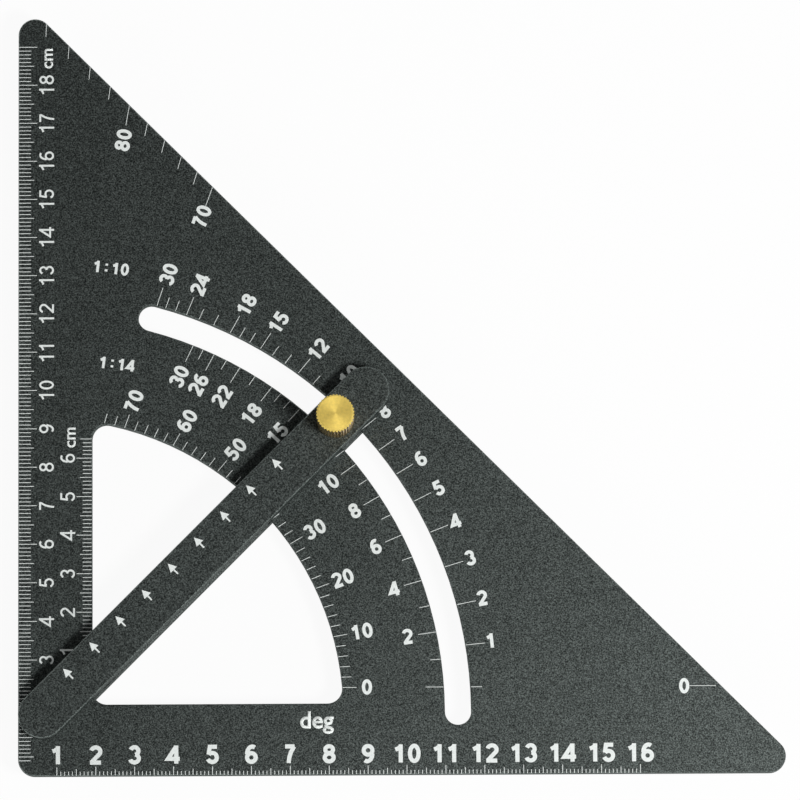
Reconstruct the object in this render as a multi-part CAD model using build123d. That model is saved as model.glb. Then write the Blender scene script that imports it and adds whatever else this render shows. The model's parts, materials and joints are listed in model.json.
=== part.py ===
from build123d import *
import math
import os

# Adjustable speed square: a slotted triangular plate, an arm of two bars that swings on a pivot
# near the heel, and a knurled nut that clamps the arm through a curved slot.
# Millimetres. X runs along the bottom leg, Y along the ruler leg, +Z out of the marked face.
# The origin is under the middle of the plate's outline, level with the underside of the lower bar.

# Plate
plate_leg = 203.5  # either leg, measured to the sharp corners
plate_thickness = 3.0
plate_corner_radius = 4.3
edge_break = 0.3  # small bevel along the edges of the plate and the bars
left_rail_width = 19.1  # ruler edge to the window
bottom_rail_width = 18.4  # bottom edge to the window
window_corner_radius = 3.8
arc_rail_width = 26.2  # window's arc to the slot's inner wall
slot_to_long_edge = 18.0  # slot's outer wall to the long sloping edge, at its nearest
slot_start_angle = 0.0  # arm's angle with the stud at the slot's lower end
slot_end_angle = 75.0  # arm's angle with the stud at the slot's upper end

# Arm
arm_angle = 45.0  # angle of the arm above the bottom leg, as it is set here
bar_width = 12.2
bar_thickness = 5.0
bar_tip_overrun = 11.0  # stud to the centre of the bar's round tip
bar_heel_overrun = 0.9  # pivot to the centre of the bar's other round end

# Pivot
pivot_from_left = 6.95
pivot_from_bottom = 16.1
bush_wall = 1.47
bush_running_clearance = 0.05
pivot_washer_thickness = 0.4
pivot_washer_width = 1.5  # between the washer's hole and its rim
pivot_washer_clearance = 0.1
pivot_screw_diameter = 5.0
pivot_screw_head_diameter = 9.2
pivot_screw_depth = 3.2  # length of the screw inside the upper bar
pivot_screw_end_gap = 0.4  # tip of the screw to the end of its blind hole
pivot_screw_socket_width = 3.0
pivot_screw_socket_depth = 1.6

# Clamp
stud_diameter = 6.0
stud_head_diameter = 10.0
stud_neck_width = 6.0  # square neck that keeps the stud from turning
stud_neck_inset = 0.3  # neck's end to the top of the lower bar
stud_engagement = 7.5  # length of the stud inside the nut
stud_tip_bevel = 0.6
slot_play = 0.35  # stud to the slot's walls
stud_hole_clearance = 0.15
nut_washer_diameter = 9.0
nut_washer_thickness = 0.6
nut_washer_clearance = 0.15
nut_diameter = 9.8
nut_height = 13.5
nut_bevel = 0.5
nut_bore_depth = 9.0
drill_point_angle = 120.0  # cone at the end of the nut's blind bore
nut_bore_mouth_bevel = 0.5
knurl_count = 36
knurl_depth = 0.3
knurl_crest_share = 0.3  # flat crest as a share of the knurl's pitch

# Fits
thread_clearance = 0.05
fixed_fit_clearance = 0.03

# Sizes that follow from the ones above
plate_extent = plate_leg - math.sqrt(2) * plate_corner_radius
slot_width = stud_diameter + 2 * slot_play
screw_hole_radius = pivot_screw_diameter / 2 + fixed_fit_clearance
bush_radius = screw_hole_radius + bush_wall
pivot_to_long_edge = (plate_leg - pivot_from_left - pivot_from_bottom) / math.sqrt(2)
slot_radius = pivot_to_long_edge - slot_to_long_edge - slot_width / 2
window_radius = slot_radius - slot_width / 2 - arc_rail_width
bar_length = bar_heel_overrun + slot_radius + bar_tip_overrun

# Heights of the stack, from the underside of the lower bar
lower_bar_top = bar_thickness
plate_bottom = lower_bar_top + pivot_washer_thickness
plate_top = plate_bottom + plate_thickness
upper_bar_bottom = plate_top + pivot_washer_thickness
upper_bar_top = upper_bar_bottom + bar_thickness
nut_bottom = upper_bar_top + nut_washer_thickness

# Places
heel = Pos(-plate_extent / 2, -plate_extent / 2)
pivot_in_plate = Pos(pivot_from_left, pivot_from_bottom)
pivot = heel * pivot_in_plate
arm = pivot * Rot(0, 0, arm_angle)
stud = arm * Pos(slot_radius, 0)


def disc(radius, height):
    return Cylinder(radius, height, align=(Align.CENTER, Align.CENTER, Align.MIN))


def ring(outer_radius, inner_radius, height):
    return disc(outer_radius, height) - disc(inner_radius, height)


def turned(*profile):
    """Solid turned about Z from (radius, height) points."""
    face = make_face(Polyline(*profile, close=True))
    return revolve(Plane.XZ * face, Axis.Z)


def end_rims(solid):
    """Edges of the solid's lowest and highest faces."""
    levels = solid.edges().filter_by(Plane.XY).group_by(Axis.Z)
    return levels[0] + levels[-1]


def countersunk_head(head_diameter, shank_diameter, clearance):
    """Flush head with a right-angled cone, from the underside of the lower bar up."""
    head_radius = head_diameter / 2 + clearance
    shank_radius = shank_diameter / 2 + clearance
    head_height = head_radius - shank_radius
    return turned((0, 0), (head_radius, 0), (shank_radius, head_height), (0, head_height))


def square_neck(clearance):
    """Square neck of the stud, inside the lower bar."""
    width = stud_neck_width + 2 * clearance
    return Box(width, width, lower_bar_top - stud_neck_inset, align=(Align.CENTER, Align.CENTER, Align.MIN))


def bar_blank():
    """Plain bar along X with round ends, its pivot at the origin."""
    middle = bar_length / 2 - bar_heel_overrun
    outline = Pos(middle, 0) * SlotCenterToCenter(bar_length, bar_width)
    blank = extrude(outline, bar_thickness)
    return chamfer(end_rims(blank), edge_break)


def make_square_plate():
    outline = make_face(Polyline((0, 0), (plate_leg, 0), (0, plate_leg), close=True))
    plate = extrude(outline, plate_thickness)
    plate = fillet(plate.edges().filter_by(Axis.Z), plate_corner_radius)

    corner = Pos(left_rail_width, bottom_rail_width)
    quadrant = corner * Rectangle(plate_leg, plate_leg, align=(Align.MIN, Align.MIN))
    window = extrude(pivot_in_plate * Circle(window_radius) & quadrant, plate_thickness)
    window = fillet(window.edges().filter_by(Axis.Z), window_corner_radius)

    slot_path = CenterArc((0, 0), slot_radius, slot_start_angle, slot_end_angle - slot_start_angle)
    slot = extrude(pivot_in_plate * SlotArc(slot_path, slot_width), plate_thickness)

    pivot_hole = disc(bush_radius + bush_running_clearance, plate_thickness)
    plate = plate - window - slot - pivot_in_plate * pivot_hole
    plate = chamfer(end_rims(plate), edge_break)
    return heel * Pos(0, 0, plate_bottom) * plate


def make_upper_bar():
    screw_hole = disc(pivot_screw_diameter / 2 + thread_clearance, pivot_screw_depth + pivot_screw_end_gap)
    stud_hole = disc(stud_diameter / 2 + stud_hole_clearance, bar_thickness)
    bar = bar_blank() - screw_hole - Pos(slot_radius, 0) * stud_hole
    return arm * Pos(0, 0, upper_bar_bottom) * bar


def make_lower_bar():
    screw_hole = disc(screw_hole_radius, bar_thickness)
    screw_seat = countersunk_head(pivot_screw_head_diameter, pivot_screw_diameter, fixed_fit_clearance)
    stud_hole = disc(stud_diameter / 2 + fixed_fit_clearance, bar_thickness)
    stud_seat = countersunk_head(stud_head_diameter, stud_diameter, fixed_fit_clearance)
    stud_seat = stud_seat + square_neck(fixed_fit_clearance) + stud_hole
    bar = bar_blank() - screw_hole - screw_seat - Pos(slot_radius, 0) * stud_seat
    return arm * bar


def make_pivot_bush():
    bush_length = plate_thickness + 2 * pivot_washer_thickness
    bush = ring(bush_radius, screw_hole_radius, bush_length)
    return pivot * Pos(0, 0, lower_bar_top) * bush


def make_pivot_washer(height):
    hole_radius = bush_radius + pivot_washer_clearance
    rim_radius = hole_radius + pivot_washer_width
    return pivot * Pos(0, 0, height) * ring(rim_radius, hole_radius, pivot_washer_thickness)


def make_pivot_screw():
    shank = disc(pivot_screw_diameter / 2, upper_bar_bottom + pivot_screw_depth)
    head = countersunk_head(pivot_screw_head_diameter, pivot_screw_diameter, 0)
    hexagon = RegularPolygon(pivot_screw_socket_width / 2, 6, major_radius=False)
    socket = extrude(hexagon, pivot_screw_socket_depth)
    return arm * (shank + head - socket)


def make_clamp_stud():
    shank = disc(stud_diameter / 2, nut_bottom + stud_engagement)
    shank = chamfer(shank.edges().group_by(Axis.Z)[-1], stud_tip_bevel)
    head = countersunk_head(stud_head_diameter, stud_diameter, 0)
    return stud * (shank + head + square_neck(0))


def make_nut_washer():
    hole_radius = stud_diameter / 2 + nut_washer_clearance
    washer = ring(nut_washer_diameter / 2, hole_radius, nut_washer_thickness)
    return stud * Pos(0, 0, upper_bar_top) * washer


def knurled_outline():
    """Toothed outline of the straight knurl: a flat crest, then a V groove, for each tooth."""
    crest_radius = nut_diameter / 2
    root_radius = crest_radius - knurl_depth
    pitch_angle = 2 * math.pi / knurl_count
    half_crest = knurl_crest_share * pitch_angle / 2
    points = []
    for tooth in range(knurl_count):
        middle = tooth * pitch_angle
        for radius, angle in (
            (crest_radius, middle - half_crest),
            (crest_radius, middle + half_crest),
            (root_radius, middle + pitch_angle / 2),
        ):
            points.append((radius * math.cos(angle), radius * math.sin(angle)))
    return make_face(Polyline(*points, close=True))


def make_thumb_nut():
    radius = nut_diameter / 2
    turned_blank = turned(
        (0, 0),
        (radius - nut_bevel, 0),
        (radius, nut_bevel),
        (radius, nut_height - nut_bevel),
        (radius - nut_bevel, nut_height),
        (0, nut_height),
    )
    nut = extrude(knurled_outline(), nut_height) & turned_blank

    bore_radius = stud_diameter / 2 + thread_clearance
    point_height = bore_radius / math.tan(math.radians(drill_point_angle / 2))
    bore = turned(
        (0, 0),
        (bore_radius + nut_bore_mouth_bevel, 0),
        (bore_radius, nut_bore_mouth_bevel),
        (bore_radius, nut_bore_depth),
        (0, nut_bore_depth + point_height),
    )
    return stud * Pos(0, 0, nut_bottom) * (nut - bore)


os.makedirs("parts", exist_ok=True)
export_step(make_square_plate(), "parts/square_plate.step")
export_step(make_upper_bar(), "parts/upper_bar.step")
export_step(make_lower_bar(), "parts/lower_bar.step")
export_step(make_pivot_bush(), "parts/pivot_bush.step")
export_step(make_pivot_washer(lower_bar_top), "parts/lower_pivot_washer.step")
export_step(make_pivot_washer(plate_top), "parts/upper_pivot_washer.step")
export_step(make_pivot_screw(), "parts/pivot_screw.step")
export_step(make_clamp_stud(), "parts/clamp_stud.step")
export_step(make_nut_washer(), "parts/nut_washer.step")
export_step(make_thumb_nut(), "parts/thumb_nut.step")
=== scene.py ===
from collections import namedtuple
import json
import math

import bmesh
import bpy
from mathutils import Matrix, Vector


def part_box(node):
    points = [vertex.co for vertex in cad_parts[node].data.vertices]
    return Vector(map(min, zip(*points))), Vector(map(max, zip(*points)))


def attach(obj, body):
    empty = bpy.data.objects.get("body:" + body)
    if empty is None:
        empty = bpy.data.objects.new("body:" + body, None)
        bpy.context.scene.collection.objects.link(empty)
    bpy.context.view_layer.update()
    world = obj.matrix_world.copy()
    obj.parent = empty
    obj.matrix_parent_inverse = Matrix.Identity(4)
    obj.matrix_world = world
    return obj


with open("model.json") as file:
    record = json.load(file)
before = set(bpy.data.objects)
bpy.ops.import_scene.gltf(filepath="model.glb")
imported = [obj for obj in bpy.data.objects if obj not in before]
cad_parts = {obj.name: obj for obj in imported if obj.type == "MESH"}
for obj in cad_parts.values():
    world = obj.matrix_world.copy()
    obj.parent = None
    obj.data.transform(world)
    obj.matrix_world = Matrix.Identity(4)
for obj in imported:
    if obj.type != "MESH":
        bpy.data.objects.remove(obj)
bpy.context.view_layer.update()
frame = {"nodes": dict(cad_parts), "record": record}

# Looks of an adjustable speed square: coated plate and bars, brass nut, printed white scales.
# Metres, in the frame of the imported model. The heel is the plate's corner where both legs meet.
mm = 0.001
plate_low, plate_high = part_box("square_plate")
joints = {joint["name"]: joint for joint in frame["record"]["behaviour"]["joints"]}
heel = Vector((plate_low.x, plate_low.y, plate_high.z))
pivot = Vector(joints["arm_swing"]["pos_m"])
stud = Vector(joints["nut_turn"]["pos_m"])
bar_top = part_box("upper_bar")[1].z
pivot_on_plate = Vector((pivot.x, pivot.y, plate_high.z))
pivot_on_bar = Vector((pivot.x, pivot.y, bar_top))

# Sizes of the plate that the scales follow
plate_leg = 203.5 * mm
left_rail_width = 19.1 * mm
window_radius = 76.7 * mm
slot_inner_radius = 102.9 * mm
slot_outer_radius = 109.6 * mm
edge_gap = 0.15 * mm  # edge to the end of a mark

# Printing. A style's weight, digit width and pitch are shares of the digit's height.
Style = namedtuple("Style", "height weight width pitch")
rule_style = Style(3.8 * mm, 0.13, 0.66, 0.74)
degree_style = Style(4.0 * mm, 0.215, 0.68, 0.75)
rise_style = Style(4.0 * mm, 0.215, 0.68, 0.71)
base_style = Style(5.0 * mm, 0.215, 0.68, 0.75)
ratio_style = Style(3.2 * mm, 0.215, 0.68, 0.75)
ink_thickness = 0.03 * mm
weld_distance = 0.001 * mm
mitre_limit = 0.4  # keeps sharp corners of a line from growing long points
unit_height = 3.1 * mm
unit_boldness = 0.014
stroke_step = 0.006 * mm  # height between the strokes of a digit, so that no two faces coincide
fine_line = 0.14 * mm
rule_line = 0.16 * mm
reading_offset = 6.4 * mm  # the arm's setting edge, measured square to the arm from the pivot
print_shift = Vector((0.4 * mm, 0))  # the angle scales are printed a little to the right of the pivot

# Coat
coat_colour = (0.081, 0.093, 0.0885)
edge_tint = (0.35, 0.36, 0.355)  # keeps the coat dark when it is seen at a low angle
coat_grain = 0.34 * mm
coat_patch = 28 * mm

# Camera
camera_focal_pixels = 8000
image_pixels = 800
sensor_width = 36
camera_target = heel + Vector((98.69 * mm, 97.02 * mm, 0))
camera_distance = 2068.5 * mm
camera_elevation = math.radians(82.64)
camera_heading = math.radians(0.3)


# Materials

def new_material(name):
    """A named material with its node tree and its principled shader."""
    material = bpy.data.materials.new(name)
    material.use_nodes = True
    tree = material.node_tree
    return material, tree, tree.nodes["Principled BSDF"]


def add_node(tree, kind, **values):
    """Adds a shader node and sets its inputs or properties by name."""
    node = tree.nodes.new(kind)
    for key, value in values.items():
        if key in node.inputs:
            node.inputs[key].default_value = value
        else:
            setattr(node, key, value)
    return node


def object_noise(tree, grain, detail=2.0, roughness=0.5):
    """Noise whose spots are about one grain wide, fixed to the object."""
    place = add_node(tree, "ShaderNodeTexCoord")
    noise = add_node(tree, "ShaderNodeTexNoise", Scale=1 / grain, Detail=detail, Roughness=roughness)
    tree.links.new(place.outputs["Object"], noise.inputs["Vector"])
    return noise.outputs["Fac"]


def ramp(tree, factor, *stops):
    """Colour ramp from (position, colour) stops."""
    node = add_node(tree, "ShaderNodeValToRGB")
    elements = node.color_ramp.elements
    while len(elements) < len(stops):
        elements.new(1.0)
    for element, (position, colour) in zip(elements, stops):
        element.position = position
        element.color = (*colour, 1.0)
    tree.links.new(factor, node.inputs["Fac"])
    return node.outputs["Color"]


def spread(tree, factor, low, high, start=0.3, end=0.7):
    """Maps a noise value to the range from low to high."""
    node = add_node(tree, "ShaderNodeMapRange")
    node.inputs["From Min"].default_value = start
    node.inputs["From Max"].default_value = end
    node.inputs["To Min"].default_value = low
    node.inputs["To Max"].default_value = high
    tree.links.new(factor, node.inputs["Value"])
    return node.outputs["Result"]


def shade(colour, factor):
    return tuple(channel * factor for channel in colour)


def multiply(tree, first, second):
    node = add_node(tree, "ShaderNodeMix", data_type="RGBA", blend_type="MULTIPLY")
    node.inputs["Factor"].default_value = 1.0
    tree.links.new(first, node.inputs["A"])
    tree.links.new(second, node.inputs["B"])
    return node.outputs["Result"]


def bump(tree, height, distance, strength=1.0):
    node = add_node(tree, "ShaderNodeBump", Distance=distance, Strength=strength)
    tree.links.new(height, node.inputs["Height"])
    return node.outputs["Normal"]


def coated_metal(name):
    """Dark coating with metal flakes: fine light and dark grains, uneven gloss and a slightly rough skin."""
    material, tree, shader = new_material(name)
    dark_grain, light_grain = shade(coat_colour, 0.2), shade(coat_colour, 2.6)
    grain = object_noise(tree, coat_grain, detail=3.0, roughness=0.65)
    speckle = ramp(tree, grain, (0.34, dark_grain), (0.5, coat_colour), (0.68, light_grain))
    patches = object_noise(tree, coat_patch)
    cloud = ramp(tree, patches, (0.3, (0.93, 0.93, 0.93)), (0.7, (1.0, 1.0, 1.0)))
    tree.links.new(multiply(tree, speckle, cloud), shader.inputs["Base Color"])
    tree.links.new(spread(tree, grain, 0.44, 0.52), shader.inputs["Roughness"])
    tree.links.new(bump(tree, grain, 0.02 * mm, 0.6), shader.inputs["Normal"])
    shader.inputs["Metallic"].default_value = 0.95
    shader.inputs["Specular Tint"].default_value = (*edge_tint, 1.0)
    return material


def brass():
    """Turned brass: fine rings on the flat end, and a smoother knurl on the side, which is painted a darker
    brown as shade for the dark surroundings it reflects.
    """
    material, tree, shader = new_material("brass")
    ring_spacing = 0.35 * mm
    wave_period = 0.3  # about the distance between two rings at a scale of 1
    side_roughness, end_roughness = 0.26, 0.6
    place = add_node(tree, "ShaderNodeTexCoord")
    centre = add_node(tree, "ShaderNodeMapping")
    centre.inputs["Location"].default_value = (-stud.x, -stud.y, 0)
    tree.links.new(place.outputs["Object"], centre.inputs["Vector"])
    rings = add_node(tree, "ShaderNodeTexWave", wave_type="RINGS", rings_direction="Z")
    rings.inputs["Scale"].default_value = wave_period / ring_spacing
    rings.inputs["Distortion"].default_value = 0.6
    rings.inputs["Detail"].default_value = 2.0
    tree.links.new(centre.outputs["Vector"], rings.inputs["Vector"])
    tarnish = object_noise(tree, 0.7 * mm, detail=4.0)
    # the brown is painted shade: the knurled side stands in for the dark arm and coat that it reflects
    gold, shaded_side_brown = (1.0, 0.77, 0.2), (0.52, 0.34, 0.08)
    split = add_node(tree, "ShaderNodeSeparateXYZ")
    tree.links.new(place.outputs["Normal"], split.inputs["Vector"])
    upward = split.outputs["Z"]
    # painted shade: sides facing sideways get the darker brown and the upward end gets the full gold
    painted_side_shade = ramp(tree, upward, (0.2, shaded_side_brown), (0.75, shade(gold, 0.6)), (0.95, gold))
    wear = ramp(tree, tarnish, (0.3, (0.86, 0.86, 0.86)), (0.7, (1.0, 1.0, 1.0)))
    tree.links.new(multiply(tree, painted_side_shade, wear), shader.inputs["Base Color"])
    roughness = spread(tree, upward, side_roughness, end_roughness, start=0.2, end=0.95)
    tree.links.new(roughness, shader.inputs["Roughness"])
    tree.links.new(bump(tree, rings.outputs["Fac"], 0.004 * mm, 0.25), shader.inputs["Normal"])
    tangent = add_node(tree, "ShaderNodeTangent", direction_type="RADIAL", axis="Z")
    tree.links.new(tangent.outputs["Tangent"], shader.inputs["Tangent"])
    shader.inputs["Metallic"].default_value = 1.0
    shader.inputs["Anisotropic"].default_value = 0.35
    shader.inputs["Anisotropic Rotation"].default_value = 0.34
    return material


def plated_steel():
    material, tree, shader = new_material("plated_steel")
    clouds = object_noise(tree, 1.2 * mm, detail=4.0)
    steel = (0.52, 0.53, 0.55)
    tree.links.new(ramp(tree, clouds, (0.3, shade(steel, 0.8)), (0.7, steel)), shader.inputs["Base Color"])
    tree.links.new(spread(tree, clouds, 0.28, 0.42), shader.inputs["Roughness"])
    tree.links.new(bump(tree, clouds, 0.01 * mm, 0.3), shader.inputs["Normal"])
    shader.inputs["Metallic"].default_value = 1.0
    return material


def black_nylon():
    material, tree, shader = new_material("black_nylon")
    skin = object_noise(tree, 0.5 * mm, detail=3.0)
    black = (0.03, 0.03, 0.032)
    tree.links.new(ramp(tree, skin, (0.3, shade(black, 0.7)), (0.7, black)), shader.inputs["Base Color"])
    tree.links.new(spread(tree, skin, 0.45, 0.6), shader.inputs["Roughness"])
    tree.links.new(bump(tree, skin, 0.01 * mm, 0.4), shader.inputs["Normal"])
    return material


def printed_ink():
    """White print, a little thin in places."""
    material, tree, shader = new_material("printed_ink")
    cover = object_noise(tree, 0.5 * mm, detail=3.0)
    white = (0.82, 0.86, 0.84)
    tree.links.new(ramp(tree, cover, (0.3, shade(white, 0.88)), (0.62, white)), shader.inputs["Base Color"])
    tree.links.new(spread(tree, cover, 0.5, 0.62), shader.inputs["Roughness"])
    tree.links.new(bump(tree, cover, 0.006 * mm, 0.4), shader.inputs["Normal"])
    shader.inputs["Specular IOR Level"].default_value = 0.25
    return material


def assign(material, *nodes):
    """Gives CAD nodes a material, keeping their meshes as they are."""
    for node in nodes:
        mesh = frame["nodes"][node].data
        mesh.materials.clear()
        mesh.materials.append(material)


assign(coated_metal("plate_coat"), "square_plate")
assign(coated_metal("bar_coat"), "upper_bar", "lower_bar")
assign(brass(), "thumb_nut")
assign(plated_steel(), "pivot_bush", "pivot_screw", "clamp_stud")
assign(black_nylon(), "lower_pivot_washer", "upper_pivot_washer", "nut_washer")
ink = printed_ink()


# Printed marks

def arc(centre_x, centre_y, radius_x, radius_y, start, end):
    """Points along part of an ellipse, from the start angle to the end angle in degrees."""
    step = 12  # degrees between two points
    count = max(3, round(abs(end - start) / step))
    angles = [math.radians(start + (end - start) * k / count) for k in range(count + 1)]
    return [(centre_x + radius_x * math.cos(a), centre_y + radius_y * math.sin(a)) for a in angles]


# Strokes of each sign along the middle of its line, in a box 0.6 wide and 1 high
drawn_width = 0.6
drawn_weight = 0.16
strokes = {
    "0": [arc(0.3, 0.5, 0.21, 0.42, 0, 360)],
    "1": [[(0.35, 0.0), (0.35, 1.0)], [(0.35, 0.88), (0.22, 0.77), (0.09, 0.71)]],
    "2": [arc(0.3, 0.69, 0.22, 0.23, 165, -35) + [(0.08, 0.08)], [(0.02, 0.08), (0.55, 0.08)]],
    "3": [arc(0.29, 0.71, 0.19, 0.21, 160, -80), arc(0.29, 0.3, 0.21, 0.22, 80, -165)],
    "4": [[(0.43, 0.0), (0.43, 1.0)], [(0.43, 0.96), (0.03, 0.27), (0.6, 0.27)]],
    "5": [[(0.52, 0.92), (0.17, 0.92), (0.11, 0.49)], arc(0.29, 0.33, 0.22, 0.25, 140, -160)],
    "6": [arc(0.3, 0.32, 0.21, 0.24, 0, 360), arc(0.34, 0.5, 0.25, 0.42, 180, 60)],
    "7": [[(0.05, 0.92), (0.51, 0.92)], [(0.49, 0.92), (0.33, 0.6), (0.25, 0.3), (0.22, 0.0)]],
    "8": [arc(0.3, 0.73, 0.185, 0.19, 0, 360), arc(0.3, 0.3, 0.215, 0.22, 0, 360)],
    "9": [arc(0.3, 0.68, 0.21, 0.24, 0, 360), arc(0.26, 0.5, 0.25, 0.42, 0, -120)],
    ":": [[(0.3, 0.16), (0.3, 0.34)], [(0.3, 0.66), (0.3, 0.84)]],
}


class Print:
    """A sheet of flat printed marks on a face, given a thin body at the end."""

    def __init__(self, origin):
        self.origin = origin
        self.mesh = bmesh.new()

    def corner(self, place, spot, lift=0.0):
        flat = place @ Vector((spot.x, spot.y, 1))
        return self.mesh.verts.new((self.origin.x + flat.x, self.origin.y + flat.y, self.origin.z + lift))

    def polygon(self, points, place=Matrix.Identity(3)):
        self.mesh.faces.new([self.corner(place, Vector(point)) for point in points])

    def ribbon(self, points, width, place=Matrix.Identity(3), lift=0.0):
        """A line of constant width along the points, closed if it ends where it starts."""
        spots = [Vector(point) for point in points]
        closed = (spots[0] - spots[-1]).length < width / 100
        if closed:
            spots.pop()
        sides = []
        count = len(spots)
        for k, spot in enumerate(spots):
            before = spot - spots[k - 1] if closed or k > 0 else spots[1] - spot
            after = spots[(k + 1) % count] - spot if closed or k < count - 1 else before
            normal_before = Vector((-before.y, before.x)).normalized()
            normal_after = Vector((-after.y, after.x)).normalized()
            mitre = (normal_before + normal_after).normalized()
            reach = mitre * (width / 2 / max(mitre_limit, mitre.dot(normal_after)))
            sides.append((self.corner(place, spot + reach, lift), self.corner(place, spot - reach, lift)))
        last = count if closed else count - 1
        for k in range(last):
            left, right = sides[k]
            next_left, next_right = sides[(k + 1) % count]
            self.mesh.faces.new((right, next_right, next_left, left))

    def number(self, value, style, place, align=0.5):
        """A number whose middle line is the X axis of the place; align is 0 at its start and 1 at its end."""
        text = str(value)
        length = (len(text) - 1) * style.pitch + style.width
        inset = (1 - style.weight) / (1 - drawn_weight)
        for k, sign in enumerate(text):
            middle = k * style.pitch + style.width / 2 - align * length
            for level, stroke in enumerate(strokes[sign]):
                points = [
                    Vector((
                        middle + (x - drawn_width / 2) * inset * style.width / drawn_width,
                        (y - 0.5) * inset,
                    )) * style.height
                    for x, y in stroke
                ]
                self.ribbon(points, style.weight * style.height, place, level * stroke_step)

    def word(self, text, height, embolden, place, align=0.5):
        """A word in the built-in font, with capitals of the given height."""
        capital = 0.682  # height of a capital in this font at size 1
        curve = bpy.data.curves.new("word", "FONT")
        curve.body = text
        curve.offset = embolden
        holder = bpy.data.objects.new("word", curve)
        bpy.context.scene.collection.objects.link(holder)
        bpy.context.view_layer.update()
        flat = bpy.data.meshes.new_from_object(holder.evaluated_get(bpy.context.evaluated_depsgraph_get()))
        low = min(vertex.co.x for vertex in flat.vertices)
        high = max(vertex.co.x for vertex in flat.vertices)
        size = height / capital
        for vertex in flat.vertices:
            x = (vertex.co.x - low - align * (high - low)) * size
            y = (vertex.co.y - capital / 2) * size
            spot = place @ Vector((x, y, 1))
            vertex.co = self.origin + Vector((spot.x, spot.y, 0))
        self.mesh.from_mesh(flat)
        bpy.data.objects.remove(holder)
        bpy.data.curves.remove(curve)
        bpy.data.meshes.remove(flat)

    def finish(self, name, body):
        mesh = bpy.data.meshes.new(name)
        bmesh.ops.remove_doubles(self.mesh, verts=self.mesh.verts, dist=weld_distance)
        bmesh.ops.recalc_face_normals(self.mesh, faces=self.mesh.faces)
        for face in self.mesh.faces:
            if face.normal.z < 0:
                face.normal_flip()
        self.mesh.to_mesh(mesh)
        self.mesh.free()
        mesh.materials.append(ink)
        piece = bpy.data.objects.new(name, mesh)
        bpy.context.scene.collection.objects.link(piece)
        body_of_ink = piece.modifiers.new("thickness", "SOLIDIFY")
        body_of_ink.thickness = ink_thickness
        body_of_ink.offset = 1.0
        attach(piece, body)


def at(x, y, turn=0.0):
    """Place on a printed face: shifted to x, y and turned by an angle in degrees."""
    angle = math.radians(turn)
    return Matrix((
        (math.cos(angle), -math.sin(angle), x),
        (math.sin(angle), math.cos(angle), y),
        (0, 0, 1),
    ))


def reading_line(angle, along, rise=0.0):
    """Place on the line that the setting edge follows at this arm angle, at a distance from the pivot."""
    turn = math.radians(angle)
    ahead = Vector((math.cos(turn), math.sin(turn)))
    aside = Vector((-ahead.y, ahead.x))
    spot = print_shift + ahead * along + aside * (reading_offset + rise)
    return at(spot.x, spot.y, angle)


def along_at_radius(angle, radius):
    """Distance along the reading line to a circle about the pivot."""
    turn = math.radians(angle)
    ahead = Vector((math.cos(turn), math.sin(turn)))
    aside = Vector((-ahead.y, ahead.x))
    clear = reading_offset + print_shift.dot(aside)
    return math.sqrt(radius ** 2 - clear ** 2) - print_shift.dot(ahead)


def tick(sheet, angle, start, end, width=fine_line):
    """Stretch of a reading line, from start to end along it."""
    sheet.ribbon([(start, 0), (end, 0)], width, reading_line(angle, 0))


def rule_ticks(sheet, edge_x, zero_y, length, lengths, direction, first=1):
    """Millimetre marks beside an upright edge, longer at each 5 mm and each 10 mm."""
    short, medium, long = lengths
    for k in range(first, round(length / mm) + 1):
        reach = long if k % 10 == 0 else medium if k % 5 == 0 else short
        y = zero_y + k * mm
        sheet.ribbon([(edge_x, y), (edge_x + direction * reach, y)], rule_line)


def make_ruler_marks():
    """Centimetre rule on the left edge, with numbers that read from the right."""
    sheet = Print(heel)
    number_x = 7.3 * mm
    rule_ticks(sheet, edge_gap, 0, 190 * mm, (3.1 * mm, 3.9 * mm, 4.7 * mm), 1, first=4)
    for k in range(2, 19):
        sheet.number(k, rule_style, at(number_x, k * 10 * mm, 90))
    sheet.word("cm", unit_height, unit_boldness, at(number_x, 187 * mm, 90))
    sheet.finish("ruler_marks", "plate")


def make_inner_ruler_marks():
    """Short centimetre rule on the left side of the window, from the setting edge's zero."""
    sheet = Print(heel)
    zero_y = pivot.y - heel.y + reading_offset - 0.2 * mm
    edge_x = left_rail_width - edge_gap
    rule_ticks(sheet, edge_x, zero_y, 65 * mm, (2.3 * mm, 3.0 * mm, 3.9 * mm), -1, first=0)
    for k in range(1, 7):
        sheet.number(k, rule_style, at(12.75 * mm, zero_y + k * 10 * mm, 90))
    sheet.word("cm", unit_height, unit_boldness, at(13.2 * mm, zero_y + 65.4 * mm, 90))
    sheet.finish("inner_ruler_marks", "plate")


def make_degree_marks():
    """Degree scale round the window's arc."""
    sheet = Print(pivot_on_plate)
    minor, major, gap, single_gap, label_rise = 2.5 * mm, 3.6 * mm, 0.9 * mm, 1.3 * mm, 0.1 * mm
    for degrees in range(0, 75, 2):
        numbered = degrees % 10 == 0
        start = along_at_radius(degrees, window_radius) + edge_gap
        tick(sheet, degrees, start, start + (major if numbered else minor))
        if numbered:
            place = reading_line(degrees, start + major + (gap if degrees else single_gap), label_rise)
            sheet.number(degrees, degree_style, place, align=0)
    sheet.finish("degree_marks", "plate")


def rise_ticks():
    """Rises that have a mark: each whole number up to 18, then each second one up to 30."""
    return list(range(0, 19)) + list(range(20, 31, 2))


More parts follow.
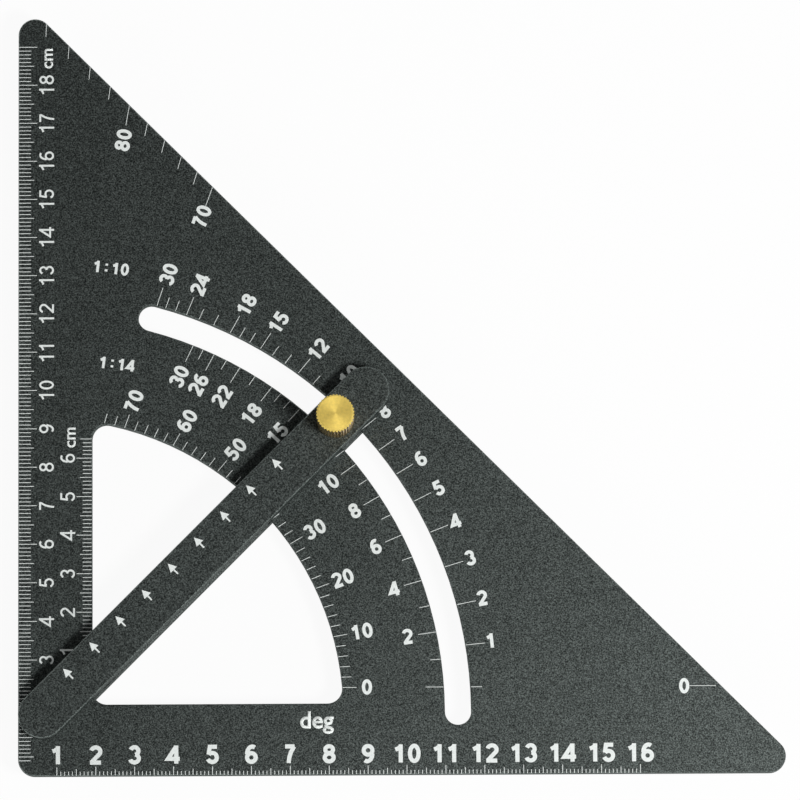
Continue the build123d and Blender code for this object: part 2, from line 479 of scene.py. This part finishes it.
def make_common_marks():
    """Rise per 10 of run, outside the slot."""
    sheet = Print(pivot_on_plate)
    run = 10
    numbered = (1, 2, 3, 4, 5, 6, 7, 8, 10, 12, 15, 18, 24, 30)
    minor, major = 2.9 * mm, 4.9 * mm
    label_gap, label_drift = 1.4 * mm, 0.034 * mm  # mark to the number's middle at zero, and more per degree
    label_rise, label_sink = 0.5 * mm, 0.0105 * mm  # number above its mark at zero, and less per degree
    for rise in rise_ticks():
        angle = math.degrees(math.atan2(rise, run))
        start = along_at_radius(angle, slot_outer_radius) + edge_gap
        tick(sheet, angle, start, start + (major if rise in numbered else minor))
        if rise in numbered:
            along = start + major + label_gap + label_drift * angle
            place = reading_line(angle, along, label_rise - label_sink * angle)
            sheet.number(rise, rise_style, place)
    sheet.finish("common_marks", "plate")


def make_diagonal_marks():
    """Rise per 10 of run on the diagonal, inside the slot."""
    sheet = Print(pivot_on_plate)
    run = 10 * math.sqrt(2)
    numbered = (2, 4, 6, 8, 10, 15, 18, 22, 26, 30)
    minor, major, gap, label_rise = 2.7 * mm, 4.6 * mm, 1.4 * mm, -0.12 * mm
    for rise in rise_ticks():
        angle = math.degrees(math.atan2(rise, run))
        start = along_at_radius(angle, slot_inner_radius) - edge_gap
        tick(sheet, angle, start, start - (major if rise in numbered + (0,) else minor))
        if rise in numbered:
            place = reading_line(angle, start - major - gap, label_rise)
            sheet.number(rise, rise_style, place, align=1)
    sheet.finish("diagonal_marks", "plate")


def long_edge_distance(angle):
    """Distance along a reading line from beside the pivot to the long sloping edge."""
    turn = math.radians(angle)
    start = reading_line(angle, 0)
    reach = plate_leg - (pivot.x - heel.x + start[0][2]) - (pivot.y - heel.y + start[1][2])
    return reach / (math.cos(turn) + math.sin(turn))


def make_long_edge_marks():
    """Marks of the steep angles and of zero on the long sloping edge."""
    sheet = Print(pivot_on_plate)
    minor, major = 3.3 * mm, 5.2 * mm
    number_gaps = {70: 0.0 * mm, 80: 1.1 * mm}
    zero_length, zero_inset = 6.8 * mm, 1.4 * mm
    for degrees in range(70, 90, 2):
        end = long_edge_distance(degrees) - edge_gap * math.sqrt(2)
        numbered = degrees in number_gaps
        tick(sheet, degrees, end - (major if numbered else minor), end)
        if numbered:
            place = reading_line(degrees, end - major - number_gaps[degrees])
            sheet.number(degrees, degree_style, place, align=1)
    end = long_edge_distance(0) - zero_inset
    tick(sheet, 0, end - zero_length, end)
    sheet.number(0, degree_style, reading_line(0, end - zero_length), align=1)
    sheet.finish("long_edge_marks", "plate")


def make_scale_ratios():
    """Slope of one unit on each of the two rise scales, and the unit of the degree scale."""
    sheet = Print(heel)
    sheet.number("1:10", ratio_style, at(24.0 * mm, 131.9 * mm, -7))
    sheet.number("1:14", ratio_style, at(25.5 * mm, 106.8 * mm, -7))
    sheet.word("deg", 4.2 * mm, 0.02, at(76.9 * mm, 14.2 * mm))
    sheet.finish("scale_ratios", "plate")


def make_base_rule_marks():
    """Centimetre rule along the bottom edge."""
    sheet = Print(heel)
    short, medium, long = 1.0 * mm, 1.6 * mm, 2.2 * mm
    for k in range(10, 161):
        reach = long if k % 10 == 0 else medium if k % 5 == 0 else short
        sheet.ribbon([(k * mm, edge_gap), (k * mm, edge_gap + reach)], rule_line)
    for k in range(1, 17):
        sheet.number(k, base_style, at(k * 10 * mm, 5.4 * mm))
    sheet.finish("base_rule_marks", "plate")


def make_arm_arrows():
    """Row of small arrows that point at the setting edge of the upper bar."""
    sheet = Print(pivot_on_bar)
    head_width, head_length, stem_length, stem_width = 2.3 * mm, 2.2 * mm, 1.5 * mm, 0.4 * mm
    first, last, count, tip = 11.3 * mm, 87.5 * mm, 9, 4.45 * mm
    rest_angle = 45
    for k in range(count):
        along = first + (last - first) * k / (count - 1)
        place = at(0, 0, rest_angle)
        base = tip - head_length
        sheet.polygon([(along - head_width / 2, base), (along + head_width / 2, base), (along, tip)], place)
        sheet.ribbon([(along, base), (along, base - stem_length)], stem_width, place)
    sheet.finish("arm_arrows", "arm")


make_ruler_marks()
make_inner_ruler_marks()
make_degree_marks()
make_common_marks()
make_diagonal_marks()
make_long_edge_marks()
make_scale_ratios()
make_base_rule_marks()
make_arm_arrows()


# Floor, light and camera

def make_floor():
    """White floor that shows bright to the camera and in reflections, with the object's soft shadow."""
    half = 3.0
    drop = 0.05 * mm
    glow_share = 0.94  # the rest is lit floor, which keeps the object's shadow
    mesh = bpy.data.meshes.new("floor")
    corners = [(-half, -half, -drop), (half, -half, -drop), (half, half, -drop), (-half, half, -drop)]
    mesh.from_pydata(corners, [], [(0, 1, 2, 3)])
    material, tree, shader = new_material("floor")
    shader.inputs["Base Color"].default_value = (0.85, 0.85, 0.85, 1)
    shader.inputs["Roughness"].default_value = 0.9
    shader.inputs["Specular IOR Level"].default_value = 0.0
    glow = add_node(tree, "ShaderNodeEmission", Strength=1.0)
    rays = add_node(tree, "ShaderNodeLightPath")
    seen = add_node(tree, "ShaderNodeMath", operation="MAXIMUM")
    tree.links.new(rays.outputs["Is Camera Ray"], seen.inputs[0])
    tree.links.new(rays.outputs["Is Glossy Ray"], seen.inputs[1])
    seen_through = add_node(tree, "ShaderNodeMath", operation="MAXIMUM")
    tree.links.new(seen.outputs[0], seen_through.inputs[0])
    tree.links.new(rays.outputs["Is Transmission Ray"], seen_through.inputs[1])
    share = add_node(tree, "ShaderNodeMath", operation="MULTIPLY")
    share.inputs[1].default_value = glow_share
    tree.links.new(seen_through.outputs[0], share.inputs[0])
    blend = add_node(tree, "ShaderNodeMixShader")
    tree.links.new(share.outputs[0], blend.inputs["Fac"])
    tree.links.new(shader.outputs["BSDF"], blend.inputs[1])
    tree.links.new(glow.outputs["Emission"], blend.inputs[2])
    tree.links.new(blend.outputs["Shader"], tree.nodes["Material Output"].inputs["Surface"])
    mesh.materials.append(material)
    floor = bpy.data.objects.new("floor", mesh)
    bpy.context.scene.collection.objects.link(floor)


def make_world():
    """Soft surround: bright near the horizon, most of all in front, and dim overhead."""
    world = bpy.data.worlds.new("surround")
    bpy.context.scene.world = world
    world.use_nodes = True
    tree = world.node_tree
    place = add_node(tree, "ShaderNodeTexCoord")
    split = add_node(tree, "ShaderNodeSeparateXYZ")
    tree.links.new(place.outputs["Generated"], split.inputs["Vector"])
    horizon, overhead = 1.8, 0.01
    in_front, behind = 1.4, 0.95
    level = spread(tree, split.outputs["Z"], horizon, overhead, start=0.3, end=0.55)
    front = spread(tree, split.outputs["Y"], in_front, behind, start=-0.7, end=0.2)
    strength = add_node(tree, "ShaderNodeMath", operation="MULTIPLY")
    tree.links.new(level, strength.inputs[0])
    tree.links.new(front, strength.inputs[1])
    tree.links.new(strength.outputs[0], tree.nodes["Background"].inputs["Strength"])
    tree.nodes["Background"].inputs["Color"].default_value = (1, 1, 1, 1)


def make_lamp(name, azimuth, tilt, distance, size, power):
    """Square soft lamp aimed at the middle of the object: azimuth from +X, tilt from straight up."""
    lamp = bpy.data.lights.new(name, "AREA")
    lamp.size = size
    lamp.energy = power
    turn, lean = math.radians(azimuth), math.radians(tilt)
    away = Vector((math.cos(turn) * math.sin(lean), math.sin(turn) * math.sin(lean), math.cos(lean)))
    holder = bpy.data.objects.new(name, lamp)
    holder.location = away * distance
    holder.rotation_mode = "QUATERNION"
    holder.rotation_quaternion = (-away).to_track_quat("-Z", "Y")
    holder.visible_camera = False
    bpy.context.scene.collection.objects.link(holder)


def make_camera():
    lens = bpy.data.cameras.new("camera")
    lens.sensor_width = sensor_width
    lens.lens = sensor_width * camera_focal_pixels / image_pixels
    lens.clip_start = 0.01
    lens.clip_end = 20
    camera = bpy.data.objects.new("camera", lens)
    level = math.cos(camera_elevation)
    forward = Vector((
        math.sin(camera_heading) * level,
        math.cos(camera_heading) * level,
        -math.sin(camera_elevation),
    ))
    camera.location = camera_target - forward * camera_distance
    camera.rotation_mode = "QUATERNION"
    camera.rotation_quaternion = forward.to_track_quat("-Z", "Y")
    bpy.context.scene.collection.objects.link(camera)
    bpy.context.scene.camera = camera


make_floor()
make_world()
make_lamp("key", azimuth=-34, tilt=33, distance=1.0, size=0.22, power=6.9)
make_camera()
bpy.context.scene.view_settings.view_transform = "Standard"
